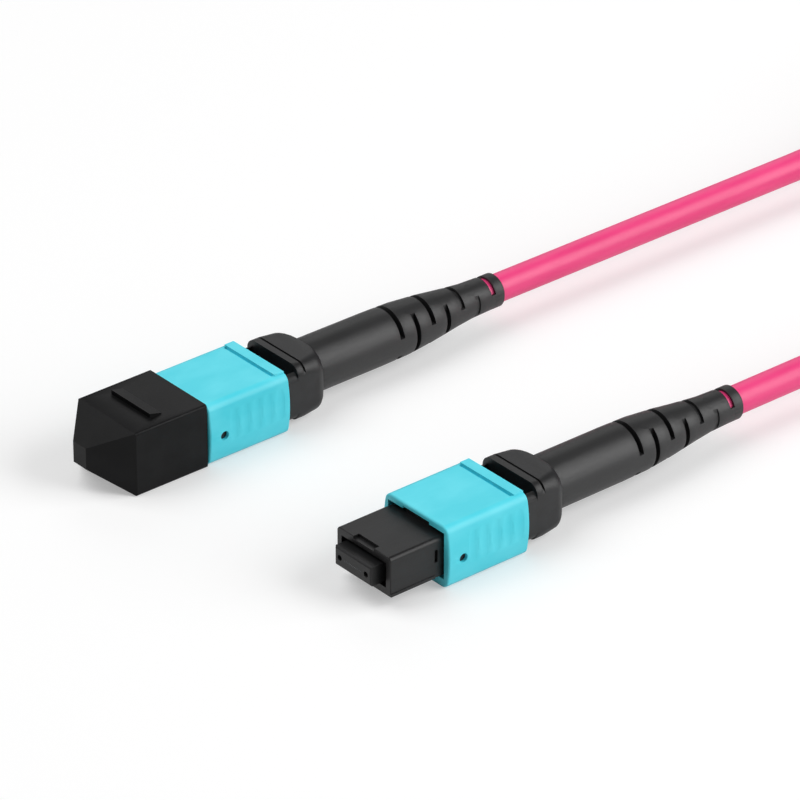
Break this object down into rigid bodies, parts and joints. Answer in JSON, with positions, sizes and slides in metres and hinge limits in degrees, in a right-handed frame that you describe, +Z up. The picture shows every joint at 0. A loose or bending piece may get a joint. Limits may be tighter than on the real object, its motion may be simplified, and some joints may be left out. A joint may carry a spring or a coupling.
{
  "type": "multi-fibre optical patch cord",
  "caption": "Optical patch cord: push-on multi-fibre plugs with sliding sleeves, floating ferrules and slotted strain boots, joined by a round jacketed cable; pull-off dust cap.",
  "frame": {"origin": "on the table, in the middle of the box round the two plugs", "axes": "+X along the plugs from nose to cable, +Y towards the capped plug, +Z up from the table"},
  "size_m": [0.1835, 0.054, 0.0089],
  "materials": {
    "sleeve_plastic": "satin aqua moulding",
    "housing_plastic": "satin black moulding",
    "ferrule_moulding": "mineral-filled moulding with a polished end",
    "soft_rubber": "matt",
    "keeper_steel": "pressed sheet",
    "spring_steel": "drawn wire",
    "shell_plastic": "satin black moulding",
    "crimp_metal": "drawn eyelet",
    "boot_rubber": "matt black rubber",
    "coated_fibre": "acrylate-coated ribbon",
    "cap_plastic": "soft satin black moulding",
    "cable_jacket": "extruded low-smoke jacket",
    "tie_strap": "black hook-and-loop strap"
  },
  "bodies": {
    "cord": {"inner_housing_a": "housing_plastic", "back_shell_a": "shell_plastic", "crimp_ring_a": "crimp_metal", "strain_boot_a": "boot_rubber", "fibre_ribbon_a": "coated_fibre", "ferrule_spring_a": "spring_steel", "coupling_spring_left_a": "spring_steel", "coupling_spring_right_a": "spring_steel", "inner_housing_b": "housing_plastic", "back_shell_b": "shell_plastic", "crimp_ring_b": "crimp_metal", "strain_boot_b": "boot_rubber", "fibre_ribbon_b": "coated_fibre", "ferrule_spring_b": "spring_steel", "coupling_spring_left_b": "spring_steel", "coupling_spring_right_b": "spring_steel", "cable_run_a": "cable_jacket", "cable_run_b": "cable_jacket", "cable_coil": "cable_jacket", "coil_tie": "tie_strap"},
    "sleeve_a": {"coupling_sleeve_a": "sleeve_plastic"},
    "ferrule_group_a": {"ferrule_a": "ferrule_moulding", "ribbon_boot_a": "soft_rubber", "pin_keeper_a": "keeper_steel"},
    "sleeve_b": {"coupling_sleeve_b": "sleeve_plastic"},
    "ferrule_group_b": {"ferrule_b": "ferrule_moulding", "ribbon_boot_b": "soft_rubber", "pin_keeper_b": "keeper_steel"},
    "cap": {"dust_cap": "cap_plastic"}
  },
  "joints": [
    {"name": "sleeve_slide_a", "type": "slide", "parent": "cord", "child": "sleeve_a", "axis": [1, 0, 0], "range_m": [0, 0.0012], "stiffness_N_per_m": 1200, "deforming": ["coupling_spring_left_a", "coupling_spring_right_a"]},
    {"name": "ferrule_float_a", "type": "slide", "parent": "cord", "child": "ferrule_group_a", "axis": [1, 0, 0], "range_m": [0, 0.001], "stiffness_N_per_m": 2000, "deforming": ["ferrule_spring_a", "fibre_ribbon_a"]},
    {"name": "sleeve_slide_b", "type": "slide", "parent": "cord", "child": "sleeve_b", "axis": [1, 0, 0], "range_m": [0, 0.0012], "stiffness_N_per_m": 1200, "deforming": ["coupling_spring_left_b", "coupling_spring_right_b"]},
    {"name": "ferrule_float_b", "type": "slide", "parent": "cord", "child": "ferrule_group_b", "axis": [1, 0, 0], "range_m": [0, 0.001], "stiffness_N_per_m": 2000, "deforming": ["ferrule_spring_b", "fibre_ribbon_b"]},
    {"name": "cap_pull", "type": "slide", "parent": "cord", "child": "cap", "axis": [-1, 0, 0], "range_m": [0, 0.012]}
  ]
}
